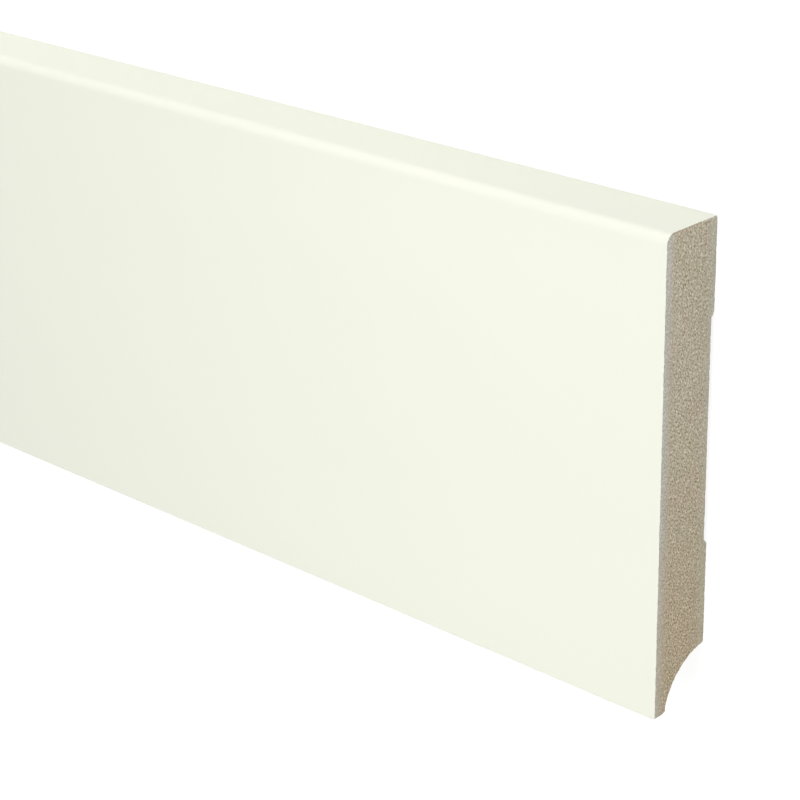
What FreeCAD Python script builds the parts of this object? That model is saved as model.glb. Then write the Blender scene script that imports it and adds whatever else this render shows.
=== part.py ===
import FreeCAD, Part
import math
import os

import Sketcher

# A sold length of square skirting board, moulded from one strip of fibreboard.
# It lies flat on its back with the face up. X runs along the board, Y from the
# floor edge to the top edge, and Z from the wall side to the face. The origin is
# under the middle of the board, on the plane of the back. Sizes are millimetres.
# Every cross-section is drawn by height above the floor edge and depth from the
# wall plane.

# Driving dimensions: alias, value, meaning
DIMENSIONS = (
    ("board_length", 2400, "sold length, from sawn end to sawn end"),
    ("board_height", 120, "floor edge to top edge"),
    ("board_thickness", 18, "wall plane to face"),
    ("round_over_radius", 2.5, "rounded arris between face and top edge"),
    ("toe_radius", 0.4, "broken arris between face and floor edge"),
    ("upper_land", 21.8, "width of the upper flat that touches the wall"),
    ("lower_land_top", 39.8, "height where the lower flat ends"),
    ("relief_depth", 1.0, "how far the back is hollowed between the two flats"),
    ("relief_bevel_run", 1.2, "height of the bevel from the lower flat to the hollow"),
    ("shoulder_run", 1.7, "height of the eased shoulder under the upper flat"),
    ("shoulder_depth", 0.4, "how deep the eased shoulder falls before the steep step"),
    ("step_lean", 0.2, "how far the steep step under the shoulder leans"),
    ("cove_height", 13.8, "height where the cable cove meets the lower flat"),
    ("cove_radius", 16.4, "radius of the cable cove"),
    ("foot_thickness", 3.9, "face to the back of the foot"),
    ("foot_height", 2.0, "height of the upright back of the foot"),
    ("foot_chamfer_rise", 1.0, "how far the foot's underside slopes up at its back"),
    ("foot_chamfer_run", 2.1, "how much of the foot's underside slopes"),
    ("land_easing", 0.4, "radius on the two arrises of the lower flat"),
    ("cutter_overrun", 3.0, "how far a cutter's outline reaches outside the blank"),
)

SAME_PLACE = 1e-4
LEAST_CUT = 1.0
NODE = "skirting_board"
PARTS_FOLDER = "parts"

doc = FreeCAD.newDocument("SkirtingBoard")


def make_sheet():
    """Put each driving dimension in a row of its own: meaning, then value with its alias."""
    sheet = doc.addObject("Spreadsheet::Sheet", "Sizes")
    for row, (alias, value, meaning) in enumerate(DIMENSIONS, start=1):
        sheet.set(f"A{row}", meaning)
        sheet.set(f"B{row}", str(value))
        sheet.setAlias(f"B{row}", alias)
    doc.recompute()
    return sheet


sizes = make_sheet()


def linked(expression):
    """Point every alias in the expression at its cell of the sheet."""
    words = expression.split()
    aliases = [alias for alias, _, _ in DIMENSIONS]
    return " ".join(f"Sizes.{word}" if word in aliases else word for word in words)


def value_of(expression):
    """Work out an expression of aliases as a plain number of millimetres."""
    return float(sizes.evalExpression(linked(expression)))


def section_point(height, depth):
    """Give the sketch point at this height above the floor edge and depth from the wall."""
    return FreeCAD.Vector(value_of(height), value_of(depth), 0)


def arc_between(start, end, radius, bow):
    """Give the arc from start to end whose middle lies on the left (bow 1) or right (bow -1).

    The arc always runs counter-clockwise, so the numbers of its end points come with it:
    first the one at start, then the one at end.
    """
    chord = end - start
    left = FreeCAD.Vector(-chord.y, chord.x, 0).normalize()
    reach = math.sqrt(radius**2 - (chord.Length / 2) ** 2)
    centre = (start + end) / 2 - left * reach * bow
    first, last = (end, start) if bow > 0 else (start, end)
    first_angle = math.atan2(first.y - centre.y, first.x - centre.x)
    last_angle = math.atan2(last.y - centre.y, last.x - centre.x)
    circle = Part.Circle(centre, FreeCAD.Vector(0, 0, 1), radius)
    arc = Part.ArcOfCircle(circle, first_angle, last_angle)
    return arc, ((2, 1) if bow > 0 else (1, 2))


def origin_plane(body, role):
    """Find one of the body's own origin planes."""
    return next(plane for plane in body.Origin.OriginFeatures if plane.Role == role)


def draw_section(body, name, corners, arcs=None):
    """Draw a closed outline across the board, with its corners bound to the sheet.

    Each corner is a pair of expressions, height and depth. A side runs from its corner
    to the next one, straight unless arcs holds its number with a radius and a bow.
    """
    arcs = arcs or {}
    sketch = body.newObject("Sketcher::SketchObject", name)
    sketch.AttachmentSupport = [(origin_plane(body, "YZ_Plane"), "")]
    sketch.MapMode = "FlatFace"
    sketch.setExpression(".AttachmentOffset.Base.x", linked("- board_height / 2"))

    points = [section_point(*corner) for corner in corners]
    end_numbers = []
    for side, start in enumerate(points):
        end = points[(side + 1) % len(points)]
        if side in arcs:
            radius, bow = arcs[side]
            curve, numbers = arc_between(start, end, value_of(radius), bow)
        else:
            curve, numbers = Part.LineSegment(start, end), (1, 2)
        sketch.addGeometry(curve, False)
        end_numbers.append(numbers)

    for side, (_, end_number) in enumerate(end_numbers):
        following = (side + 1) % len(points)
        start_number = end_numbers[following][0]
        sketch.addConstraint(
            Sketcher.Constraint("Coincident", side, end_number, following, start_number)
        )
    for side, (height, depth) in enumerate(corners):
        start_number = end_numbers[side][0]
        bind(sketch, "DistanceX", (-1, 1, side, start_number), points[side].x, height)
        bind(sketch, "DistanceY", (-1, 1, side, start_number), points[side].y, depth)
    for side, (radius, _) in arcs.items():
        bind(sketch, "Radius", (side,), value_of(radius), radius)
    doc.recompute()
    return sketch


def bind(sketch, kind, elements, value, expression):
    """Add one dimension to the sketch and tie it to the sheet."""
    index = sketch.addConstraint(Sketcher.Constraint(kind, *elements, value))
    sketch.setExpression(f"Constraints[{index}]", linked(expression))


def mould_away(body, name, sketch):
    """Run a cutter of the drawn section along the whole board, and make sure that it cuts."""
    volume_before = body.Shape.Volume
    cut = body.newObject("PartDesign::Pocket", name)
    cut.Profile = sketch
    cut.Type = "ThroughAll"
    cut.SideType = "Symmetric"
    doc.recompute()
    if volume_before - body.Shape.Volume < LEAST_CUT:
        raise RuntimeError(f"{name} took nothing off the board")
    return cut


def long_edge(feature, height, depth):
    """Name the edge that runs along the board at this height and depth of its section."""
    y = value_of(height) - value_of("board_height") / 2
    z = value_of(depth)
    for number, edge in enumerate(feature.Shape.Edges, start=1):
        ends = [vertex.Point for vertex in edge.Vertexes]
        if all(abs(end.y - y) < SAME_PLACE and abs(end.z - z) < SAME_PLACE for end in ends):
            return f"Edge{number}"
    raise RuntimeError(f"no edge along the board at height {height} and depth {depth}")


def round_arrises(body, name, places, radius):
    """Round the long arrises at these places of the section."""
    feature = body.Tip
    rounding = body.newObject("PartDesign::Fillet", name)
    rounding.Base = (feature, [long_edge(feature, *place) for place in places])
    rounding.setExpression("Radius", linked(radius))
    doc.recompute()
    return rounding


# Blank: the planed strip, with its length along X and half of it on each side

board = doc.addObject("PartDesign::Body", NODE)
board.Label = NODE
board.Placement = FreeCAD.Placement()

blank_section = draw_section(
    board,
    "BlankSection",
    (
        ("0", "0"),
        ("board_height", "0"),
        ("board_height", "board_thickness"),
        ("0", "board_thickness"),
    ),
)
blank = board.newObject("PartDesign::Pad", "Blank")
blank.Profile = blank_section
blank.SideType = "Symmetric"
blank.setExpression("Length", linked("board_length"))
doc.recompute()

# Back relief: a shallow hollow that leaves two flats against the wall. It starts with
# a bevel above the lower flat and ends at a steep step under the eased upper shoulder.

relief_section = draw_section(
    board,
    "BackReliefSection",
    (
        ("lower_land_top", "0"),
        ("lower_land_top", "- cutter_overrun"),
        ("board_height - upper_land", "- cutter_overrun"),
        ("board_height - upper_land", "0"),
        ("board_height - upper_land - shoulder_run", "shoulder_depth"),
        ("board_height - upper_land - shoulder_run - step_lean", "relief_depth"),
        ("lower_land_top + relief_bevel_run", "relief_depth"),
    ),
    {3: ("( shoulder_run ^ 2 + shoulder_depth ^ 2 ) / ( 2 * shoulder_depth )", 1)},
)
mould_away(board, "BackRelief", relief_section)

# Cable cove: a quarter-round hollow behind the foot. It takes the bottom back corner
# away, so that a cable can lie there, and leaves a thin foot that stands on the floor.

cove_section = draw_section(
    board,
    "CableCoveSection",
    (
        ("cove_height", "0"),
        ("foot_height", "board_thickness - foot_thickness"),
        ("- cutter_overrun", "board_thickness - foot_thickness"),
        ("- cutter_overrun", "- cutter_overrun"),
        ("cove_height", "- cutter_overrun"),
    ),
    {0: ("cove_radius", -1)},
)
mould_away(board, "CableCove", cove_section)

# Foot underside: it slopes up towards the back, so that only its front meets the floor

underside_section = draw_section(
    board,
    "FootUndersideSection",
    (
        ("0", "board_thickness - foot_thickness + foot_chamfer_run"),
        ("foot_chamfer_rise", "board_thickness - foot_thickness"),
        ("0", "board_thickness - foot_thickness"),
    ),
)
mould_away(board, "FootUnderside", underside_section)

# Arrises: the rounded top of the face, the broken toe, and the eased lower flat

round_arrises(board, "RoundOver", [("board_height", "board_thickness")], "round_over_radius")
round_arrises(board, "Toe", [("0", "board_thickness")], "toe_radius")
round_arrises(board, "LandEasing", [("lower_land_top", "0"), ("cove_height", "0")], "land_easing")


def write_part(body):
    """Make sure that every step of the model worked, and write the board as one solid."""
    failed = [item.Label for item in doc.Objects if {"Invalid", "Error"} & set(item.State)]
    if failed:
        raise RuntimeError(f"these steps failed: {failed}")
    if body.Shape.isNull() or not body.Shape.isValid() or len(body.Shape.Solids) != 1:
        raise RuntimeError(f"{body.Label} is not one sound solid")
    os.makedirs(PARTS_FOLDER, exist_ok=True)
    body.Shape.exportStep(os.path.join(PARTS_FOLDER, f"{body.Label}.step"))
    print(f"{body.Label}: {body.Shape.Volume:.0f} cubic millimetres, {body.Shape.BoundBox}")


write_part(board)
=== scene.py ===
import math
from typing import NamedTuple

import bpy
import numpy as np
from bpy.props import FloatProperty, FloatVectorProperty, IntProperty, PointerProperty
from mathutils import Matrix, Vector
from mathutils.geometry import delaunay_2d_cdt
from mathutils.kdtree import KDTree


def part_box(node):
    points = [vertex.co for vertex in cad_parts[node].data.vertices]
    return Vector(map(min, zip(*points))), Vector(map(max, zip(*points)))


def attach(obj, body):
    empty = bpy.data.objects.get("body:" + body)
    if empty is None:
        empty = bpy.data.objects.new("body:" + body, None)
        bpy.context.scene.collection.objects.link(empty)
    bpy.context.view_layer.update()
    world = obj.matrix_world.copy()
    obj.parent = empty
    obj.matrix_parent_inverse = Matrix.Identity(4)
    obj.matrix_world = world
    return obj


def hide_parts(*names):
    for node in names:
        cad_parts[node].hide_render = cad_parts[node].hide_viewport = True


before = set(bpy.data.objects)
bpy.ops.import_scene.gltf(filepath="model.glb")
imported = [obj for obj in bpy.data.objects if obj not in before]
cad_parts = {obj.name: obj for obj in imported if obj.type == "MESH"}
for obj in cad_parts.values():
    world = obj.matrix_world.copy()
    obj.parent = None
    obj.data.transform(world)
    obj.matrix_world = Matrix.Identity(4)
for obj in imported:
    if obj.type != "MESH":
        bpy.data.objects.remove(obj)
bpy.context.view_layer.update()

NODE = "skirting_board"
LOWEST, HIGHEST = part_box(NODE)
BOARD_LENGTH = HIGHEST.x - LOWEST.x
BOARD_HEIGHT = HIGHEST.y - LOWEST.y
BOARD_THICKNESS = HIGHEST.z - LOWEST.z

MM = 0.001
PIECE_NAME = "skirting_length"
BAKE_MAP = "OFBake"

bl_info = {
    "name": "Skirting Board Length",
    "version": (1, 0, 0),
    "blender": (4, 5, 0),
    "location": "3D View > Sidebar > Skirting",
    "description": "Makes a coated fibreboard skirting length with sawn ends, and its studio stage",
    "category": "Object",
}


# Settings that a user would change

class MouldingSizes(bpy.types.PropertyGroup):
    """Sizes of the moulded section. Heights are from the floor edge, depths from the wall plane."""

    round_over: FloatProperty(
        name="Round-over",
        description="Radius of the arris between face and top edge",
        default=2.5 * MM,
        min=0.5 * MM,
        unit="LENGTH",
    )
    toe: FloatProperty(
        name="Toe",
        description="Radius of the broken arris between face and floor edge",
        default=0.4 * MM,
        min=0.1 * MM,
        unit="LENGTH",
    )
    upper_land: FloatProperty(
        name="Upper Land",
        description="Width of the upper flat that touches the wall",
        default=21.8 * MM,
        unit="LENGTH",
    )
    lower_land_top: FloatProperty(
        name="Lower Land Top",
        description="Height where the lower flat ends",
        default=39.8 * MM,
        unit="LENGTH",
    )
    relief_depth: FloatProperty(
        name="Relief Depth",
        description="How far the back is hollowed between its two flats",
        default=1.0 * MM,
        unit="LENGTH",
    )
    bevel_run: FloatProperty(
        name="Bevel Run",
        description="Height of the bevel from the lower flat to the hollow",
        default=1.2 * MM,
        unit="LENGTH",
    )
    shoulder_run: FloatProperty(
        name="Shoulder Run",
        description="Height of the eased shoulder under the upper flat",
        default=1.7 * MM,
        unit="LENGTH",
    )
    shoulder_depth: FloatProperty(
        name="Shoulder Depth",
        description="How deep the eased shoulder falls before the steep step",
        default=0.4 * MM,
        unit="LENGTH",
    )
    step_lean: FloatProperty(
        name="Step Lean",
        description="How far the steep step under the shoulder leans",
        default=0.2 * MM,
        unit="LENGTH",
    )
    cove_height: FloatProperty(
        name="Cove Height",
        description="Height where the cable cove meets the lower flat",
        default=13.8 * MM,
        unit="LENGTH",
    )
    cove_radius: FloatProperty(
        name="Cove Radius",
        description="Radius of the cable cove behind the foot",
        default=16.4 * MM,
        unit="LENGTH",
    )
    foot_thickness: FloatProperty(
        name="Foot Thickness",
        description="From the face to the back of the foot",
        default=3.9 * MM,
        unit="LENGTH",
    )
    foot_height: FloatProperty(
        name="Foot Height",
        description="Height of the upright back of the foot",
        default=2.0 * MM,
        unit="LENGTH",
    )
    underside_rise: FloatProperty(
        name="Underside Rise",
        description="How far the foot's underside slopes up at its back",
        default=1.0 * MM,
        unit="LENGTH",
    )
    underside_run: FloatProperty(
        name="Underside Run",
        description="How much of the foot's underside slopes",
        default=2.1 * MM,
        unit="LENGTH",
    )
    land_easing: FloatProperty(
        name="Land Easing",
        description="Radius on the two arrises of the lower flat",
        default=0.4 * MM,
        unit="LENGTH",
    )
    outline_step: FloatProperty(
        name="Outline Step",
        description="Longest stretch of a straight side between two points",
        default=0.4 * MM,
        unit="LENGTH",
    )
    station_step: FloatProperty(
        name="Station Step",
        description="Distance along the board between two cross-sections of the mesh",
        default=120.0 * MM,
        unit="LENGTH",
    )


class SawnEnd(bpy.types.PropertyGroup):
    """Fibre relief and colours of the sawn ends."""

    grain_step: FloatProperty(
        name="Grain Step",
        description="Distance between the points of the sawn face's mesh",
        default=0.27 * MM,
        unit="LENGTH",
    )
    relief: FloatProperty(
        name="Relief",
        description="How deep the saw tears the fibres in the core",
        default=0.07 * MM,
        unit="LENGTH",
    )
    rim_chips: FloatProperty(
        name="Rim Chips",
        description="How far the saw chips the arris round the cut",
        default=0.14 * MM,
        unit="LENGTH",
    )
    corner_wear: FloatProperty(
        name="Corner Wear",
        description="How far the foot's tip and the back corner are worn away at each end",
        default=0.9 * MM,
        unit="LENGTH",
    )
    seed: IntProperty(name="Seed", description="Start of the random fibre layout", default=7)
    core_colour: FloatVectorProperty(
        name="Core",
        description="Mean colour of the coarse core",
        subtype="COLOR",
        size=3,
        default=(0.565, 0.50, 0.3755),
    )
    # Painted shade: darkens and warms the sawn face towards the floor edge, where less light falls from
    # above.
    painted_foot_shade: FloatVectorProperty(
        name="Foot Tint",
        description="How the sawn face browns from the top edge down to the floor edge",
        subtype="COLOR",
        size=3,
        default=(0.95, 0.885, 0.81),
    )
    skin_colour: FloatVectorProperty(
        name="Skin",
        description="Colour of the dense, fine layer under the face",
        subtype="COLOR",
        size=3,
        default=(0.60, 0.585, 0.525),
    )
    # Partly the dense skin's own colour, partly painted light: it lifts the shade that falls towards the back
    # of the sawn face.
    back_skin_and_painted_light_colour: FloatVectorProperty(
        name="Back Skin",
        description="Colour of the dense, fine layer at the wall side",
        subtype="COLOR",
        size=3,
        default=(0.615, 0.592, 0.48),
    )
    contrast: FloatProperty(
        name="Contrast",
        description="Strength of the light and dark fibres against the mean colour",
        default=2.7,
        min=0.0,
    )


class CoatLook(bpy.types.PropertyGroup):
    """The factory coat on the face, the top edge and the toe."""

    colour: FloatVectorProperty(
        name="Coat Colour",
        description="Cream white of the factory coat",
        subtype="COLOR",
        size=3,
        default=(0.86, 0.876, 0.76),
    )
    roughness: FloatProperty(
        name="Roughness",
        description="Roughness of the satin coat",
        default=0.52,
        min=0.0,
        max=1.0,
        subtype="FACTOR",
    )


class StudioStage(bpy.types.PropertyGroup):
    """Floor, light and camera."""

    lens: FloatProperty(
        name="Lens",
        description="Focal length of the camera in millimetres",
        default=111.759,
        min=10.0,
    )
    sky: FloatProperty(
        name="Sky",
        description="Strength of the even light from all around",
        default=0.621,
        min=0.0,
    )
    key_power: FloatProperty(
        name="Key Power",
        description="Power of the wide lamp above the whole face",
        default=10.7,
        min=0.0,
        unit="POWER",
    )
    end_power: FloatProperty(
        name="End Power",
        description="Power of the small lamp above the near end",
        default=0.1725,
        min=0.0,
        unit="POWER",
    )
    side_power: FloatProperty(
        name="Side Power",
        description="Power of the lamp beside the top edge",
        default=1.84,
        min=0.0,
        unit="POWER",
    )
    far_power: FloatProperty(
        name="Far Power",
        description="Power of the lamp above the far half of the board",
        default=0.65,
        min=0.0,
        unit="POWER",
    )


# Cross-section

ROUND_OVER_SIDES = 16
TOE_SIDES = 6
COVE_SIDES = 24
EASING_SIDES = 4
SHOULDER_SIDES = 5
CLEAR_OF_OUTLINE = 0.6
JITTER = 0.32
WELD = 1e-6


def arc(centre, radius, start, end, sides):
    """Points of an arc between two angles in radians, both ends included."""
    angles = np.linspace(start, end, sides + 1)
    return [(centre[0] + radius * math.cos(a), centre[1] + radius * math.sin(a)) for a in angles]


def angle_from(centre, point):
    """Angle of a point as seen from a centre, from 0 to a full turn."""
    return math.atan2(point[1] - centre[1], point[0] - centre[0]) % math.tau


def cove_centre(sizes):
    """Centre of the circle through the cove's two ends, on the side of the wall and floor."""
    back = Vector((sizes.cove_height, 0))
    foot = Vector((sizes.foot_height, BOARD_THICKNESS - sizes.foot_thickness))
    chord = foot - back
    outwards = Vector((-chord.y, chord.x)).normalized()
    return (back + foot) / 2 + outwards * math.sqrt(sizes.cove_radius**2 - chord.length_squared / 4)


def cove_points(sizes):
    """The cove from the back of the foot to the eased arris of the lower land."""
    centre = cove_centre(sizes)
    easing = sizes.land_easing
    reach = sizes.cove_radius + easing
    easing_centre = (centre.x + math.sqrt(reach**2 - (easing - centre.y) ** 2), easing)
    foot = (sizes.foot_height, BOARD_THICKNESS - sizes.foot_thickness)
    top = angle_from(centre, easing_centre)
    cove = arc(centre, sizes.cove_radius, angle_from(centre, foot), top, COVE_SIDES)
    arris = arc(easing_centre, easing, top + math.pi, 1.5 * math.pi, EASING_SIDES)
    return cove + arris[1:]


def bevel_points(sizes):
    """The lower land's eased upper arris and the bevel up to the hollow of the back."""
    slope = math.atan2(sizes.relief_depth, sizes.bevel_run)
    back_off = sizes.land_easing * math.tan(slope / 2)
    centre = (sizes.lower_land_top - back_off, sizes.land_easing)
    arris = arc(centre, sizes.land_easing, 1.5 * math.pi, 1.5 * math.pi + slope, EASING_SIDES)
    return arris + [(sizes.lower_land_top + sizes.bevel_run, sizes.relief_depth)]


def shoulder_points(sizes):
    """The steep step at the top of the hollow and the eased shoulder of the upper land."""
    land_bottom = BOARD_HEIGHT - sizes.upper_land
    run, depth = sizes.shoulder_run, sizes.shoulder_depth
    radius = (run**2 + depth**2) / (2 * depth)
    centre = (land_bottom, radius)
    step_top = (land_bottom - run, depth)
    step_foot = (step_top[0] - sizes.step_lean, sizes.relief_depth)
    start = angle_from(centre, step_top)
    return [step_foot] + arc(centre, radius, start, 1.5 * math.pi, SHOULDER_SIDES)


def section_outline(sizes):
    """Corners and arcs of the section, counter-clockwise, as height and depth from the wall."""
    foot_back = BOARD_THICKNESS - sizes.foot_thickness
    round_over = (BOARD_HEIGHT - sizes.round_over, BOARD_THICKNESS - sizes.round_over)
    toe = (sizes.toe, BOARD_THICKNESS - sizes.toe)
    outline = [(0.0, foot_back + sizes.underside_run), (sizes.underside_rise, foot_back)]
    outline += cove_points(sizes)
    outline += bevel_points(sizes)
    outline += shoulder_points(sizes)
    outline += [(BOARD_HEIGHT, 0.0)]
    outline += arc(round_over, sizes.round_over, 0, math.pi / 2, ROUND_OVER_SIDES)
    outline += arc(toe, sizes.toe, math.pi / 2, math.pi, TOE_SIDES)
    return np.array(outline)


def divided(outline, step):
    """The closed outline with its long sides cut into stretches no longer than step."""
    points = []
    for start, end in zip(outline, np.roll(outline, -1, axis=0)):
        pieces = max(1, math.ceil(np.linalg.norm(end - start) / step))
        points += [start + (end - start) * part / pieces for part in range(pieces)]
    return np.array(points)


def clearance(points, outline):
    """Distance of each point to the outline, negative outside it."""
    nearest = np.full(len(points), np.inf)
    inside = np.zeros(len(points), bool)
    for start, end in zip(outline, np.roll(outline, -1, axis=0)):
        side = end - start
        along = np.clip((points - start) @ side / (side @ side), 0, 1)
        nearest = np.minimum(nearest, np.linalg.norm(points - start - along[:, None] * side, axis=1))
        if start[1] != end[1]:
            crosses = (start[1] > points[:, 1]) != (end[1] > points[:, 1])
            crossing = start[0] + side[0] * (points[:, 1] - start[1]) / side[1]
            inside ^= crosses & (points[:, 0] < crossing)
    return np.where(inside, nearest, -nearest)


def section_mesh(sizes, end):
    """The section filled with fine triangles, in the YZ plane and facing +X."""
    corners = section_outline(sizes)
    outline = divided(corners, sizes.outline_step)
    step = end.grain_step
    heights = np.arange(step, BOARD_HEIGHT, step)
    depths = np.arange(step, BOARD_THICKNESS, step)
    grid = np.stack(np.meshgrid(heights, depths, indexing="ij"), -1).reshape(-1, 2)
    grid += np.random.default_rng(end.seed).uniform(-JITTER, JITTER, grid.shape) * step
    grid = grid[clearance(grid, corners) > CLEAR_OF_OUTLINE * step]
    points = [Vector(point) / MM for point in np.vstack([outline, grid])]
    ring = list(range(len(outline)))
    flat, _, faces, *_ = delaunay_2d_cdt(points, [], [ring], 1, WELD)
    mesh = bpy.data.meshes.new("section")
    places = [(0.0, LOWEST.y + point.x * MM, LOWEST.z + point.y * MM) for point in flat]
    mesh.from_pydata(places, [], faces)
    return mesh, outline


# Node trees

NODE_SPACING = 190


class Pattern(NamedTuple):
    """Noise: its wavelengths along the axes in millimetres, where it starts, and how fine it goes."""

    lengths: tuple
    start: tuple = (0.0, 0.0, 0.0)
    detail: float = 2.0
    roughness: float = 0.5


def per_metre(lengths):
    """Factors that make each of the lengths, in millimetres, one unit of a pattern."""
    return tuple(1 / (length * MM) for length in lengths)


class Wiring:
    """A node tree being built. Each node is set to the right of the one before it."""

    def __init__(self, tree):
        self.tree = tree
        self.column = 0

    def add(self, kind, inputs=None, **settings):
        """Make a node, apply its settings, and set or link its inputs by name or number."""
        node = self.tree.nodes.new(kind)
        node.location = (self.column * NODE_SPACING, 0)
        self.column += 1
        for name, value in settings.items():
            setattr(node, name, value)
        for key, value in (inputs or {}).items():
            if isinstance(value, bpy.types.NodeSocket):
                self.tree.links.new(value, node.inputs[key])
            else:
                node.inputs[key].default_value = value
        return node

    def math(self, operation, *values):
        """A math node's result."""
        return self.add("ShaderNodeMath", dict(enumerate(values)), operation=operation).outputs[0]

    def ramp(self, value, low, high, to_low=0.0, to_high=1.0):
        """A smooth step of a value from one range to another."""
        limits = {0: value, 1: low, 2: high, 3: to_low, 4: to_high}
        return self.add("ShaderNodeMapRange", limits, interpolation_type="SMOOTHSTEP").outputs[0]

    def scaled(self, vector, factors, offset=(0.0, 0.0, 0.0)):
        """A vector times one factor an axis, plus an offset."""
        inputs = {0: vector, 1: factors, 2: offset}
        return self.add("ShaderNodeVectorMath", inputs, operation="MULTIPLY_ADD").outputs[0]

    def noise(self, place, pattern):
        """A pattern's noise at a place in metres, from 0 to 1."""
        vector = self.scaled(place, per_metre(pattern.lengths), pattern.start)
        inputs = {"Vector": vector, "Scale": 1.0, "Detail": pattern.detail, "Roughness": pattern.roughness}
        return self.add("ShaderNodeTexNoise", inputs).outputs[0]

    def swung(self, value, share, onto):
        """A value from 0 to 1, swung about 0 to the share given, and added to another value."""
        return self.math("MULTIPLY_ADD", self.math("SUBTRACT", value, 0.5), share, onto)

    def compare(self, first, operation, second):
        """Whether one number is above or below another."""
        return self.add("FunctionNodeCompare", {0: first, 1: second}, operation=operation).outputs[0]

    def both(self, first, second):
        """True where both conditions hold."""
        return self.add("FunctionNodeBooleanMath", {0: first, 1: second}, operation="AND").outputs[0]


# Moulded length

SHARP_EDGE = math.radians(28)
FACES_ALONG = 0.5
COAT_FACES_UP = -0.05
LAND_FACES_DOWN = -0.99
ON_WALL = BOARD_THICKNESS / 40

TORN_FIBRES = Pattern((1.0, 0.9, 0.7), detail=3.0, roughness=0.6)
TORN_RANGE = (0.36, 0.66)
TUFTS = Pattern((3.0, 3.4, 2.2), (3.1, 5.2, 9.7), detail=1.0)
TUFT_RANGE = (0.35, 0.7)
TUFT_SHARE = 0.4
CORE_START = 1.2 * MM
CORE_FULL = 3.2 * MM
SKIN_TEAR = 0.25
CHIPS = Pattern((4.0, 1.1, 1.1), (8.3, 2.9, 6.1), roughness=0.6)
CHIP_RANGE = (0.38, 0.72)
FOOT_WEAR = 0.8 * MM
FOOT_WORN_OFF = 0.15 * MM
FOOT_RAGGEDNESS = 0.4 * MM
BACK_WEAR = 0.45 * MM
BACK_WEAR_SHARE = 0.5

MOULDING_SOCKETS = (
    ("Section", "INPUT", "NodeSocketGeometry"),
    ("Length", "INPUT", "NodeSocketFloat"),
    ("Stations", "INPUT", "NodeSocketInt"),
    ("Relief", "INPUT", "NodeSocketFloat"),
    ("Rim Chips", "INPUT", "NodeSocketFloat"),
    ("Corner Wear", "INPUT", "NodeSocketFloat"),
    ("Coat", "INPUT", "NodeSocketMaterial"),
    ("Pressed Back", "INPUT", "NodeSocketMaterial"),
    ("Moulded Back", "INPUT", "NodeSocketMaterial"),
    ("Sawn End", "INPUT", "NodeSocketMaterial"),
    ("Board", "OUTPUT", "NodeSocketGeometry"),
)


def swept_shell(w, given, near_place, far_place):
    """The section's rim swept from one end of the board to the other."""
    faces = w.add("GeometryNodeInputMeshEdgeNeighbors").outputs[0]
    rim = w.add("FunctionNodeCompare", {2: faces, 3: 1}, data_type="INT", operation="EQUAL").outputs[0]
    profile = w.add("GeometryNodeMeshToCurve", {"Mesh": given["Section"], "Selection": rim}).outputs[0]
    place = w.add("GeometryNodeInputPosition").outputs[0]
    parts = w.add("ShaderNodeSeparateXYZ", {0: place}).outputs
    left = w.math("MULTIPLY", parts["Y"], -1.0)
    under = w.math("MULTIPLY", parts["Z"], -1.0)
    laid = w.add("ShaderNodeCombineXYZ", {0: left, 1: under}).outputs[0]
    profile = w.add("GeometryNodeSetPosition", {"Geometry": profile, "Position": laid}).outputs[0]
    path = w.add("GeometryNodeCurvePrimitiveLine", {"Start": far_place, "End": near_place}).outputs[0]
    path = w.add("GeometryNodeResampleCurve", {"Curve": path, "Count": given["Stations"]}).outputs[0]
    shell = w.add("GeometryNodeCurveToMesh", {"Curve": path, "Profile Curve": profile}).outputs[0]
    shell = w.add("GeometryNodeFlipFaces", {"Mesh": shell}).outputs[0]
    return w.add("GeometryNodeSetMaterial", {"Geometry": shell, "Material": given["Coat"]}).outputs[0]


def closed_board(w, given, shell, near_place, far_place):
    """The swept shell closed at both ends with the section, and sharp along its arrises."""
    near_cap = {"Geometry": given["Section"], "Translation": near_place}
    near_cap = w.add("GeometryNodeTransform", near_cap).outputs[0]
    far_cap = {"Geometry": given["Section"], "Translation": far_place}
    far_cap = w.add("GeometryNodeTransform", far_cap).outputs[0]
    far_cap = w.add("GeometryNodeFlipFaces", {"Mesh": far_cap}).outputs[0]
    joined = w.add("GeometryNodeJoinGeometry")
    for surface in (shell, near_cap, far_cap):
        w.tree.links.new(surface, joined.inputs[0])
    board = w.add("GeometryNodeMergeByDistance", {0: joined.outputs[0], "Distance": WELD}).outputs[0]
    shading = {"Geometry": board, "Selection": arrises(w), "Shade Smooth": False}
    return w.add("GeometryNodeSetShadeSmooth", shading, domain="EDGE").outputs[0]


def arrises(w):
    """The edges where two faces meet at a sharp angle."""
    edge_angle = w.add("GeometryNodeInputMeshEdgeAngle").outputs[0]
    return w.compare(edge_angle, "GREATER_THAN", SHARP_EDGE)


def noted_facing(w, board):
    """The board, and the way that its flat faces point before the fibres are torn."""
    capture = w.add("GeometryNodeCaptureAttribute", {0: board}, domain="FACE")
    capture.capture_items.new("VECTOR", "Flat Normal")
    normal = w.add("GeometryNodeInputNormal").outputs[0]
    w.tree.links.new(normal, capture.inputs["Flat Normal"])
    facing = w.add("ShaderNodeSeparateXYZ", {0: capture.outputs["Flat Normal"]}).outputs
    return capture.outputs[0], facing


def torn_depth(w, place, parts, relief):
    """How deep the saw tears the fibres. The dense skins tear least."""
    below_face = w.math("SUBTRACT", BOARD_THICKNESS, parts["Z"])
    skin_depth = w.math("MINIMUM", below_face, parts["Z"])
    core = w.ramp(skin_depth, CORE_START, CORE_FULL, SKIN_TEAR, 1.0)
    fibres = w.ramp(w.noise(place, TORN_FIBRES), *TORN_RANGE)
    fibres = w.math("MULTIPLY", fibres, 1 - TUFT_SHARE)
    tufts = w.ramp(w.noise(place, TUFTS), *TUFT_RANGE)
    torn = w.math("MULTIPLY_ADD", tufts, TUFT_SHARE, fibres)
    return w.math("MULTIPLY", w.math("MULTIPLY", torn, core), relief)


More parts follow.
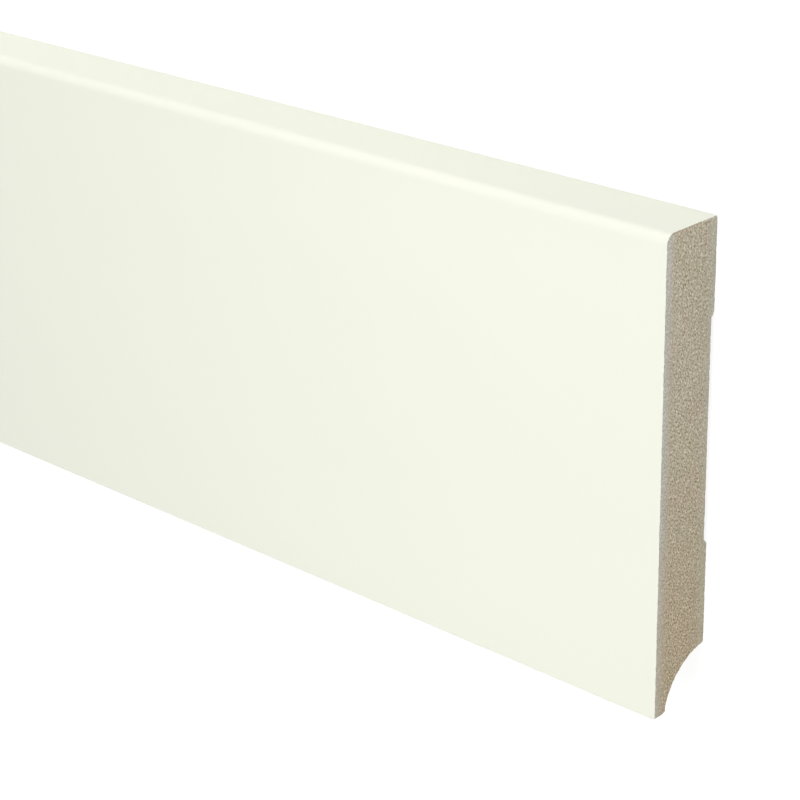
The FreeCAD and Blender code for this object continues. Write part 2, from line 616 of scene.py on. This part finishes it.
def worn_depth(w, parts, chips, corner_wear):
    """How far the foot's tip and the corner of the top edge and the back are worn away."""
    above_floor = w.math("SUBTRACT", parts["Y"], LOWEST.y)
    ragged = w.math("MULTIPLY_ADD", chips, FOOT_RAGGEDNESS, above_floor)
    foot_worn = w.ramp(ragged, FOOT_WEAR, FOOT_WORN_OFF)
    from_corner = w.math("ADD", w.math("SUBTRACT", HIGHEST.y, parts["Y"]), parts["Z"])
    back_worn = w.math("MULTIPLY", w.ramp(from_corner, BACK_WEAR, 0.0), BACK_WEAR_SHARE)
    return w.math("MULTIPLY", w.math("MAXIMUM", foot_worn, back_worn), corner_wear)


def sawn_ends(w, given, board, half, place, parts):
    """The board with its two ends pushed inwards where the saw tore, chipped or wore them."""
    from_middle = w.math("ABSOLUTE", parts["X"])
    cut = w.compare(from_middle, "GREATER_THAN", w.math("SUBTRACT", half, WELD))
    depth = torn_depth(w, place, parts, given["Relief"])
    on_rim = {0: arrises(w)}
    on_rim = w.add("GeometryNodeFieldOnDomain", on_rim, data_type="BOOLEAN", domain="EDGE").outputs[0]
    chips = w.noise(place, CHIPS)
    chipped = w.math("MULTIPLY", w.ramp(chips, *CHIP_RANGE), given["Rim Chips"])
    depth = w.math("MAXIMUM", depth, w.math("MULTIPLY", chipped, on_rim))
    depth = w.math("MAXIMUM", depth, worn_depth(w, parts, chips, given["Corner Wear"]))
    inwards = w.math("MULTIPLY", w.math("MULTIPLY", depth, w.math("SIGN", parts["X"])), -1.0)
    offset = w.add("ShaderNodeCombineXYZ", {0: inwards}).outputs[0]
    pushed = {"Geometry": board, "Selection": cut, "Offset": offset}
    return w.add("GeometryNodeSetPosition", pushed).outputs[0]


def finished(w, given, board, facing, parts):
    """The board with its four finishes, each painted over the one before it."""
    lengthwise = w.compare(w.math("ABSOLUTE", facing["X"]), "LESS_THAN", FACES_ALONG)
    coated = w.both(lengthwise, w.compare(facing["Z"], "GREATER_THAN", COAT_FACES_UP))
    land = w.both(lengthwise, w.compare(facing["Z"], "LESS_THAN", LAND_FACES_DOWN))
    on_wall = w.compare(parts["Z"], "LESS_THAN", ON_WALL)
    finishes = (
        (True, "Sawn End"),
        (lengthwise, "Moulded Back"),
        (w.both(land, on_wall), "Pressed Back"),
        (coated, "Coat"),
    )
    for where, finish in finishes:
        painting = {"Geometry": board, "Selection": where, "Material": given[finish]}
        board = w.add("GeometryNodeSetMaterial", painting).outputs[0]
    return board


def moulding_tree():
    """Sweep the section along the board, cap it, tear and wear its ends, and give it its finishes."""
    tree = bpy.data.node_groups.new("Moulded Length", "GeometryNodeTree")
    for name, direction, kind in MOULDING_SOCKETS:
        tree.interface.new_socket(name, in_out=direction, socket_type=kind)
    w = Wiring(tree)
    given = w.add("NodeGroupInput").outputs
    half = w.math("MULTIPLY", given["Length"], 0.5)
    near_place = w.add("ShaderNodeCombineXYZ", {0: half}).outputs[0]
    far_place = w.add("ShaderNodeCombineXYZ", {0: w.math("MULTIPLY", half, -1.0)}).outputs[0]
    shell = swept_shell(w, given, near_place, far_place)
    board = closed_board(w, given, shell, near_place, far_place)
    board, facing = noted_facing(w, board)
    place = w.add("GeometryNodeInputPosition").outputs[0]
    parts = w.add("ShaderNodeSeparateXYZ", {0: place}).outputs
    board = sawn_ends(w, given, board, half, place, parts)
    board = w.add("GeometryNodeRealizeInstances", {0: board}).outputs[0]
    w.add("NodeGroupOutput", {0: finished(w, given, board, facing, parts)})
    return tree


def set_inputs(modifier, values):
    """Set a geometry modifier's inputs by the identifiers of their sockets."""
    for item in modifier.node_group.interface.items_tree:
        if item.in_out == "INPUT" and item.name in values:
            modifier[item.identifier] = values[item.name]


def baked_mesh(holder, name):
    """The object's mesh with its modifiers applied, as a plain mesh."""
    bpy.context.view_layer.update()
    evaluated = holder.evaluated_get(bpy.context.evaluated_depsgraph_get())
    mesh = bpy.data.meshes.new_from_object(evaluated)
    mesh.name = name
    return mesh


# Bake map

END_SHARE = 0.14
END_WIDTH = 0.98
MAP_MARGIN = 0.01
SEAM_JUMP = 0.5


def places_around(points, outline):
    """How far round the outline each point lies, from 0 to 1, given its height and depth."""
    lengths = np.linalg.norm(np.roll(outline, -1, axis=0) - outline, axis=1)
    starts = np.concatenate([[0], np.cumsum(lengths)])
    finder = KDTree(len(outline))
    for index, point in enumerate(outline):
        finder.insert((*point, 0), index)
    finder.balance()
    return np.array([starts[finder.find((*point, 0))[1]] for point in points]) / starts[-1]


def mesh_array(items, name, width, kind=float):
    """One property of a mesh's items, as an array with a row for each item."""
    values = np.zeros(len(items) * width, kind)
    items.foreach_get(name, values)
    return values.reshape(-1, width)


def lay_out_map(mesh, outline):
    """Lay the board out for baking: the two ends as strips at their own scale, then the sides."""
    corner = mesh_array(mesh.loops, "vertex_index", 1, int)[:, 0]
    first = mesh_array(mesh.polygons, "loop_start", 1, int)[:, 0]
    count = mesh_array(mesh.polygons, "loop_total", 1, int)[:, 0]
    points = mesh_array(mesh.vertices, "co", 3)
    section = points[:, 1:] - np.array([LOWEST.y, LOWEST.z])
    on_end = np.repeat(np.abs(mesh_array(mesh.polygons, "normal", 3)[:, 0]) > FACES_ALONG, count)
    near = np.repeat(mesh_array(mesh.polygons, "center", 3)[:, 0] > 0, count)

    along = (points[corner, 0] - LOWEST.x) / BOARD_LENGTH
    height = section[corner, 0] / BOARD_HEIGHT
    depth = section[corner, 1] / BOARD_THICKNESS
    place = np.zeros(len(points))
    rim = np.unique(corner[~on_end])
    place[rim] = places_around(section[rim], outline)
    place = place[corner]
    highest = np.repeat(np.maximum.reduceat(place, first), count)
    place = np.where((highest - place > SEAM_JUMP) & ~on_end, place + 1, place)

    sides_low = MAP_MARGIN + 2 * (END_SHARE + MAP_MARGIN)
    end_low = np.where(near, MAP_MARGIN, 2 * MAP_MARGIN + END_SHARE)
    across = MAP_MARGIN + END_WIDTH * np.where(on_end, height, along)
    on_sides = sides_low + (1 - MAP_MARGIN - sides_low) * place
    upwards = np.where(on_end, end_low + END_SHARE * depth, on_sides)
    layer = mesh.uv_layers.new(name=BAKE_MAP)
    layer.data.foreach_set("uv", np.stack([across, upwards], 1).ravel())


# Materials

WHITE = (1.0, 1.0, 1.0, 1.0)
UNCHANGED = (1.0, 1.0, 1.0)

CLOUD = Pattern((170.0, 60.0, 60.0))
CLOUD_RANGE = (0.3, 0.7)
CLOUD_SHADE = 0.988
FLOW_MARKS = Pattern((2.6, 1.9, 1.9), roughness=0.45)
FLOW_RANGE = (0.3, 0.7)
FLOW_BUMP = {"Strength": 0.35, "Distance": 0.012 * MM}
FLOW_GLOSS_SWING = 0.03
RAISED_FIBRES = Pattern((0.8, 0.35, 0.35), roughness=0.6)
RAISED_HEIGHT = 0.01 * MM
ARRIS_RANGE = (HIGHEST.y - 4 * MM, HIGHEST.y - 1 * MM)
RAISED_ON_FACE = 0.06
RAISED_ON_ARRIS = 0.5
COAT_IOR = 1.47

SKIN_START = 0.3 * MM
SKIN_END = 3.4 * MM
# The wall side's skin reaches this far in. It is widened past the real skin as painted light against the
# shade towards the back.
BACK_SKIN_AND_PAINTED_LIGHT_END = 4.5 * MM
CALM_END = 5.2 * MM
FACE_CALM = 0.52
BACK_CALM = 0.5
# The painted shade on the sawn face starts this far below the top edge.
FOOT_SHADE_START = 35.0 * MM
FIBRE_LEAN = 0.42
FINE_FIBRES = Pattern((1.0, 0.62, 0.42), roughness=0.6)
COARSE_FIBRES = Pattern((3.0, 1.6, 0.8), (7.7, 1.3, 4.9))
COARSE_SHARE = 0.3
FLECK_LENGTHS = (3.0, 1.1, 0.45)
FLECK_EDGE = (0.46, 0.18)
FLECK_CHOICE = (0.72, 0.95)
PALE_FLECK = 0.45
BLOTCHES = Pattern((30.0, 11.0, 5.0), (2.2, 8.1, 0.4), detail=1.0)
BLOTCH_SHARE = 0.12
DARKEST_TONE = -0.65
LIGHTEST_TONE = 0.6
TONE_RESPONSE = (0.95, 1.07, 1.36)
HUES = Pattern((20.0, 5.0, 4.0), (5.5, 0.9, 6.3), detail=1.0)
HUE_SPREAD = (0.06, -0.045, 0.02)
CALM_RANGE = (0.0, 0.5)
GRAIN_HEIGHT = 0.06 * MM
GRAIN_BUMP_IN_CORE = 0.8
GRAIN_BUMP_IN_SKIN = 0.3
SAWN_ROUGHNESS = 0.88
SAWN_IOR = 1.4

STREAKS = Pattern((18.0, 0.35, 0.35), detail=3.0, roughness=0.6)
STREAK_SHARE = 0.7
BACK_FIBRES = Pattern((2.2, 1.0, 1.0), (4.0, 2.0, 9.0), 3.0, 0.6)
BACK_FIBRE_SHARE = 0.9
BACK_CLOUD = Pattern((260.0, 45.0, 45.0))
BACK_CLOUD_SHARE = 0.5
KNIFE_PITCH = 1.8 * MM
KNIFE_SHARE = 0.12
KNIFE_HEIGHT = 0.5
DARKEST_BACK = 0.72
PALEST_BACK = 1.08
BACK_BUMP = {"Strength": 0.4, "Distance": 0.04 * MM}
BACK_ROUGHNESS = 0.75
BACK_IOR = 1.45
PRESSED_SHADE = 1.0
PLANED_SHADE = 1.06


def new_material(name):
    """An empty material with its wiring, object coordinates and the output node."""
    material = bpy.data.materials.new(name)
    material.use_nodes = True
    material.node_tree.nodes.clear()
    w = Wiring(material.node_tree)
    place = w.add("ShaderNodeTexCoord").outputs["Object"]
    return material, w, place


def finish_material(w, shader):
    """Link the shader to the material's output."""
    w.add("ShaderNodeOutputMaterial", {"Surface": shader.outputs[0]})


def mixed(w, factor, first, second):
    """A colour between two others."""
    inputs = {0: factor, 6: first, 7: second}
    return w.add("ShaderNodeMix", inputs, data_type="RGBA").outputs[2]


def opaque(colour, shade=1.0):
    """A colour with full alpha, lightened or darkened."""
    return tuple(channel * shade for channel in colour) + (1.0,)


def coat_material(coat):
    """Satin factory coat: cream white, with a faint cloud, flow marks and raised fibres on the arris."""
    material, w, place = new_material("cream_coat")
    cloud = w.ramp(w.noise(place, CLOUD), *CLOUD_RANGE)
    colour = mixed(w, cloud, opaque(coat.colour, CLOUD_SHADE), opaque(coat.colour))
    flow = w.noise(place, FLOW_MARKS)
    flow_bump = w.add("ShaderNodeBump", {**FLOW_BUMP, "Height": flow}).outputs[0]
    height = w.add("ShaderNodeSeparateXYZ", {0: place}).outputs["Y"]
    raised = {
        "Strength": w.ramp(height, *ARRIS_RANGE, RAISED_ON_FACE, RAISED_ON_ARRIS),
        "Distance": RAISED_HEIGHT,
        "Height": w.noise(place, RAISED_FIBRES),
        "Normal": flow_bump,
    }
    raised = w.add("ShaderNodeBump", raised).outputs[0]
    glossiest = coat.roughness - FLOW_GLOSS_SWING
    dullest = coat.roughness + FLOW_GLOSS_SWING
    rough = w.ramp(flow, *FLOW_RANGE, glossiest, dullest)
    shader = {"Base Color": colour, "Roughness": rough, "Normal": raised, "IOR": COAT_IOR}
    finish_material(w, w.add("ShaderNodeBsdfPrincipled", shader))
    return material


def sawn_colour(w, parts, end):
    """Mean colour of the sawn face: greyer in the skin at each side, with painted light in the widened skin
    at the wall side, and painted shade that darkens and browns it towards the foot.
    """
    face_skin = w.ramp(parts["Z"], HIGHEST.z - SKIN_END, HIGHEST.z - SKIN_START)
    # Skin at the wall side, widened and lightened as painted light against the shade towards the back.
    wall_skin_and_painted_light = w.ramp(parts["Z"], LOWEST.z + BACK_SKIN_AND_PAINTED_LIGHT_END, LOWEST.z + SKIN_START)
    # Mask of the painted shade: 0 near the top edge, rising to 1 at the floor edge.
    foot = w.ramp(parts["Y"], HIGHEST.y - FOOT_SHADE_START, LOWEST.y)
    colour = mixed(w, wall_skin_and_painted_light, opaque(end.core_colour), opaque(end.back_skin_and_painted_light_colour))
    colour = mixed(w, face_skin, colour, opaque(end.skin_colour))
    # Painted shade: the colour is darkened and warmed towards the floor edge.
    return w.scaled(colour, mixed(w, foot, WHITE, opaque(end.painted_foot_shade)))


def pale_flecks(w, place):
    """Loose bundles of fibre: 1 in the middle of a chosen cell, and 0 elsewhere."""
    cells = {"Vector": w.scaled(place, per_metre(FLECK_LENGTHS)), "Scale": 1.0}
    cells = w.add("ShaderNodeTexVoronoi", cells).outputs
    chosen = w.add("ShaderNodeSeparateColor", {0: cells["Color"]}).outputs[0]
    near_fleck = w.ramp(cells["Distance"], *FLECK_EDGE)
    return w.math("MULTIPLY", near_fleck, w.ramp(chosen, *FLECK_CHOICE))


def sawn_material(end):
    """Sawn fibreboard: leaning fibres with pale flecks, which are calmer in the skin at each side."""
    material, w, place = new_material("sawn_fibreboard")
    parts = w.add("ShaderNodeSeparateXYZ", {0: place}).outputs
    leaning = w.math("MULTIPLY_ADD", parts["Y"], -FIBRE_LEAN, parts["Z"])
    leant = w.add("ShaderNodeCombineXYZ", {0: parts["X"], 1: parts["Y"], 2: leaning}).outputs[0]
    tone = w.swung(w.noise(leant, FINE_FIBRES), end.contrast, 0.0)
    tone = w.swung(w.noise(leant, COARSE_FIBRES), COARSE_SHARE, tone)
    tone = w.math("MULTIPLY_ADD", pale_flecks(w, leant), PALE_FLECK, tone)
    face_calm = w.ramp(parts["Z"], HIGHEST.z - CALM_END, HIGHEST.z - SKIN_START, 0.0, FACE_CALM)
    back_calm = w.ramp(parts["Z"], LOWEST.z + CALM_END, LOWEST.z + SKIN_START, 0.0, BACK_CALM)
    calm = w.math("MAXIMUM", face_calm, back_calm)
    tone = w.math("MULTIPLY", tone, w.math("SUBTRACT", 1.0, calm))
    tone = w.swung(w.noise(place, BLOTCHES), BLOTCH_SHARE, tone)
    tone = w.add("ShaderNodeClamp", {0: tone, 1: DARKEST_TONE, 2: LIGHTEST_TONE}).outputs[0]

    colour = w.scaled(sawn_colour(w, parts, end), w.scaled(tone, TONE_RESPONSE, UNCHANGED))
    hue = w.math("SUBTRACT", w.noise(place, HUES), 0.5)
    colour = w.scaled(colour, w.scaled(hue, HUE_SPREAD, UNCHANGED))
    strength = w.ramp(calm, *CALM_RANGE, GRAIN_BUMP_IN_CORE, GRAIN_BUMP_IN_SKIN)
    bump = {"Strength": strength, "Distance": GRAIN_HEIGHT, "Height": tone}
    bump = w.add("ShaderNodeBump", bump).outputs[0]
    shader = {"Base Color": colour, "Roughness": SAWN_ROUGHNESS, "Normal": bump, "IOR": SAWN_IOR}
    finish_material(w, w.add("ShaderNodeBsdfPrincipled", shader))
    return material


def back_material(name, end, shade, ripple):
    """Bare back: pressed and sanded on the lands, planed with faint knife marks elsewhere."""
    material, w, place = new_material(name)
    parts = w.add("ShaderNodeSeparateXYZ", {0: place}).outputs
    turns = w.math("MULTIPLY", parts["X"], math.tau / KNIFE_PITCH)
    marks = w.math("MULTIPLY", w.math("SINE", turns), ripple)
    fibres = w.noise(place, BACK_FIBRES)
    tone = w.swung(w.noise(place, STREAKS), STREAK_SHARE, 0.5)
    tone = w.swung(fibres, BACK_FIBRE_SHARE, tone)
    tone = w.swung(w.noise(place, BACK_CLOUD), BACK_CLOUD_SHARE, tone)
    tone = w.math("MULTIPLY_ADD", marks, KNIFE_SHARE, tone)
    tone = w.add("ShaderNodeClamp", {0: tone}).outputs[0]
    darkest = opaque(end.core_colour, DARKEST_BACK * shade)
    palest = opaque(end.core_colour, PALEST_BACK * shade)
    height = w.math("MULTIPLY_ADD", marks, KNIFE_HEIGHT, fibres)
    bump = w.add("ShaderNodeBump", {**BACK_BUMP, "Height": height}).outputs[0]
    shader = {
        "Base Color": mixed(w, tone, darkest, palest),
        "Roughness": BACK_ROUGHNESS,
        "Normal": bump,
        "IOR": BACK_IOR,
    }
    finish_material(w, w.add("ShaderNodeBsdfPrincipled", shader))
    return material


class SKIRTING_OT_make_board(bpy.types.Operator):
    """Make the moulded, coated board with its two sawn ends"""

    bl_idname = "skirting.make_board"
    bl_label = "Make Board"

    def execute(self, context):
        sizes = context.scene.skirting_sizes
        end = context.scene.skirting_end
        sawn = sawn_material(end)
        section, outline = section_mesh(sizes, end)
        section.materials.append(sawn)
        holder = bpy.data.objects.new("section", section)
        context.scene.collection.objects.link(holder)
        shaping = holder.modifiers.new("moulding", "NODES")
        shaping.node_group = moulding_tree()
        values = {
            "Length": BOARD_LENGTH,
            "Stations": round(BOARD_LENGTH / sizes.station_step) + 1,
            "Relief": end.relief,
            "Rim Chips": end.rim_chips,
            "Corner Wear": end.corner_wear,
            "Coat": coat_material(context.scene.skirting_coat),
            "Pressed Back": back_material("pressed_fibreboard", end, PRESSED_SHADE, ripple=0.0),
            "Moulded Back": back_material("planed_fibreboard", end, PLANED_SHADE, ripple=1.0),
            "Sawn End": sawn,
        }
        set_inputs(shaping, values)
        holder.modifiers.new("true flats", "WEIGHTED_NORMAL").keep_sharp = True
        mesh = baked_mesh(holder, PIECE_NAME)
        bpy.data.objects.remove(holder)
        lay_out_map(mesh, outline)
        board = bpy.data.objects.new(PIECE_NAME, mesh)
        context.scene.collection.objects.link(board)
        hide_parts(NODE)
        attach(board, "root")
        return {"FINISHED"}


# Stage

CAMERA_PLACE = Vector((1.507799, 0.235537, 0.423982))
CAMERA_AIM = Vector((1.119428, -0.000727, BOARD_THICKNESS))
CAMERA_ROLL = math.radians(-1.0324)
SENSOR = 36.0
FLOOR_REACH = 6.0
FLOOR_DROP = 0.05 * MM
PAPER_GRAIN = Pattern((3.0, 3.0, 3.0))
PAPER_TONES = (0.80, 0.82)
PAPER_GLOW = 0.88
SHADOW_SHARE = 0.20
WHITE_STRENGTH = 1.0
LENS_REACH = (0.01, 50.0)


class Lamp(NamedTuple):
    """A soft rectangular lamp: its place, what it points at, its size, and its spread in degrees."""

    place: tuple
    target: tuple
    size: tuple
    spread: float = 180.0


LAMPS = {
    "key": Lamp((0.2, -0.2, 2.2), (0.2, 0.0, 0.0), (2.4, 1.2)),
    "end": Lamp((1.25, 0.08, 0.7), (1.22, 0.02, 0.0), (0.35, 0.35), 60.0),
    "side": Lamp((0.75, 0.72, 0.2), (1.15, 0.06, 0.0), (0.35, 0.25)),
    "far": Lamp((-0.45, 0.35, 1.2), (-0.45, 0.0, 0.0), (1.5, 0.6), 60.0),
}


def aimed(place, target, roll=0.0, upright=Vector((0, 1, 0))):
    """A transform at a place whose -Z looks at the target, with its Y nearest to upright."""
    back = (place - target).normalized()
    right = upright.cross(back).normalized()
    up = back.cross(right)
    turn = Matrix((right, up, back)).transposed().to_4x4()
    return Matrix.Translation(place) @ turn @ Matrix.Rotation(roll, 4, "Z")


def make_camera(scene, stage):
    """The camera at the viewing angle of the photograph."""
    lens = bpy.data.cameras.new("camera")
    lens.lens = stage.lens
    lens.sensor_width = SENSOR
    lens.clip_start, lens.clip_end = LENS_REACH
    camera = bpy.data.objects.new("camera", lens)
    camera.matrix_world = aimed(CAMERA_PLACE, CAMERA_AIM, CAMERA_ROLL)
    scene.collection.objects.link(camera)
    scene.camera = camera


def add_lamp(scene, name, lamp, power):
    """Hang one lamp, which the camera doesn't see."""
    light = bpy.data.lights.new(name, "AREA")
    light.shape = "RECTANGLE"
    light.size, light.size_y = lamp.size
    light.energy = power
    light.spread = math.radians(lamp.spread)
    holder = bpy.data.objects.new(name, light)
    holder.matrix_world = aimed(Vector(lamp.place), Vector(lamp.target))
    holder.visible_camera = False
    scene.collection.objects.link(holder)


def rays_to_the_eye(w):
    """1 for what the camera sees directly, in a gloss or through glass, and 0 for light on things."""
    rays = w.add("ShaderNodeLightPath").outputs
    seen = w.math("MAXIMUM", rays["Is Camera Ray"], rays["Is Glossy Ray"])
    return w.math("MAXIMUM", seen, rays["Is Transmission Ray"])


def floor_material():
    """White paper floor. Seen directly or in a gloss it keeps a faint shadow, and it lights as pale paper."""
    material, w, place = new_material("pale_floor")
    seen = rays_to_the_eye(w)
    dark, light = (opaque((tone,) * 3) for tone in PAPER_TONES)
    paper = mixed(w, w.noise(place, PAPER_GRAIN), dark, light)
    shown = mixed(w, seen, paper, opaque((SHADOW_SHARE,) * 3))
    matte = w.add("ShaderNodeBsdfDiffuse", {"Color": shown}).outputs[0]
    lift = w.math("MULTIPLY", seen, PAPER_GLOW)
    glow = w.add("ShaderNodeEmission", {"Color": WHITE, "Strength": lift}).outputs[0]
    finish_material(w, w.add("ShaderNodeAddShader", {0: matte, 1: glow}))
    return material


def make_floor(scene):
    """A plain floor just under the board."""
    mesh = bpy.data.meshes.new("floor")
    reach, level = FLOOR_REACH, LOWEST.z - FLOOR_DROP
    corners = [(-reach, -reach, level), (reach, -reach, level), (reach, reach, level), (-reach, reach, level)]
    mesh.from_pydata(corners, [], [(0, 1, 2, 3)])
    mesh.materials.append(floor_material())
    floor = bpy.data.objects.new("floor", mesh)
    scene.collection.objects.link(floor)


def make_sky(scene, stage):
    """Even light from all around, shown as plain white behind the floor and in a gloss."""
    world = bpy.data.worlds.new("studio")
    world.use_nodes = True
    world.node_tree.nodes.clear()
    w = Wiring(world.node_tree)
    lit = w.add("ShaderNodeBackground", {"Color": WHITE, "Strength": stage.sky}).outputs[0]
    shown = w.add("ShaderNodeBackground", {"Color": WHITE, "Strength": WHITE_STRENGTH}).outputs[0]
    sky = w.add("ShaderNodeMixShader", {0: rays_to_the_eye(w), 1: lit, 2: shown}).outputs[0]
    w.add("ShaderNodeOutputWorld", {"Surface": sky})
    scene.world = world


class SKIRTING_OT_set_stage(bpy.types.Operator):
    """Set the floor, the soft lamps, the sky and the camera"""

    bl_idname = "skirting.set_stage"
    bl_label = "Set Stage"

    def execute(self, context):
        scene = context.scene
        stage = scene.skirting_stage
        make_floor(scene)
        make_sky(scene, stage)
        for name, lamp in LAMPS.items():
            add_lamp(scene, name, lamp, getattr(stage, f"{name}_power"))
        make_camera(scene, stage)
        scene.view_settings.view_transform = "Standard"
        return {"FINISHED"}


class SKIRTING_PT_panel(bpy.types.Panel):
    """Settings and makers of the skirting board"""

    bl_idname = "SKIRTING_PT_panel"
    bl_label = "Skirting Board"
    bl_space_type = "VIEW_3D"
    bl_region_type = "UI"
    bl_category = "Skirting"

    def draw(self, context):
        layout = self.layout
        for group in SETTINGS:
            settings = getattr(context.scene, group)
            box = layout.box()
            for name in settings.bl_rna.properties.keys():
                if name not in ("rna_type", "name"):
                    box.prop(settings, name)
        for operator in OPERATORS:
            layout.operator(operator.bl_idname)


SETTINGS = {
    "skirting_sizes": MouldingSizes,
    "skirting_end": SawnEnd,
    "skirting_coat": CoatLook,
    "skirting_stage": StudioStage,
}
OPERATORS = (SKIRTING_OT_make_board, SKIRTING_OT_set_stage)


def register():
    """Register the settings, the operators and the panel."""
    for name, group in SETTINGS.items():
        bpy.utils.register_class(group)
        setattr(bpy.types.Scene, name, PointerProperty(type=group))
    for operator in OPERATORS:
        bpy.utils.register_class(operator)
    bpy.utils.register_class(SKIRTING_PT_panel)


def unregister():
    """Take the panel, the operators and the settings away again."""
    bpy.utils.unregister_class(SKIRTING_PT_panel)
    for operator in reversed(OPERATORS):
        bpy.utils.unregister_class(operator)
    for name, group in SETTINGS.items():
        delattr(bpy.types.Scene, name)
        bpy.utils.unregister_class(group)


def main():
    """Make the board and the stage."""
    register()
    bpy.ops.skirting.make_board()
    bpy.ops.skirting.set_stage()


if __name__ == "__main__":
    main()
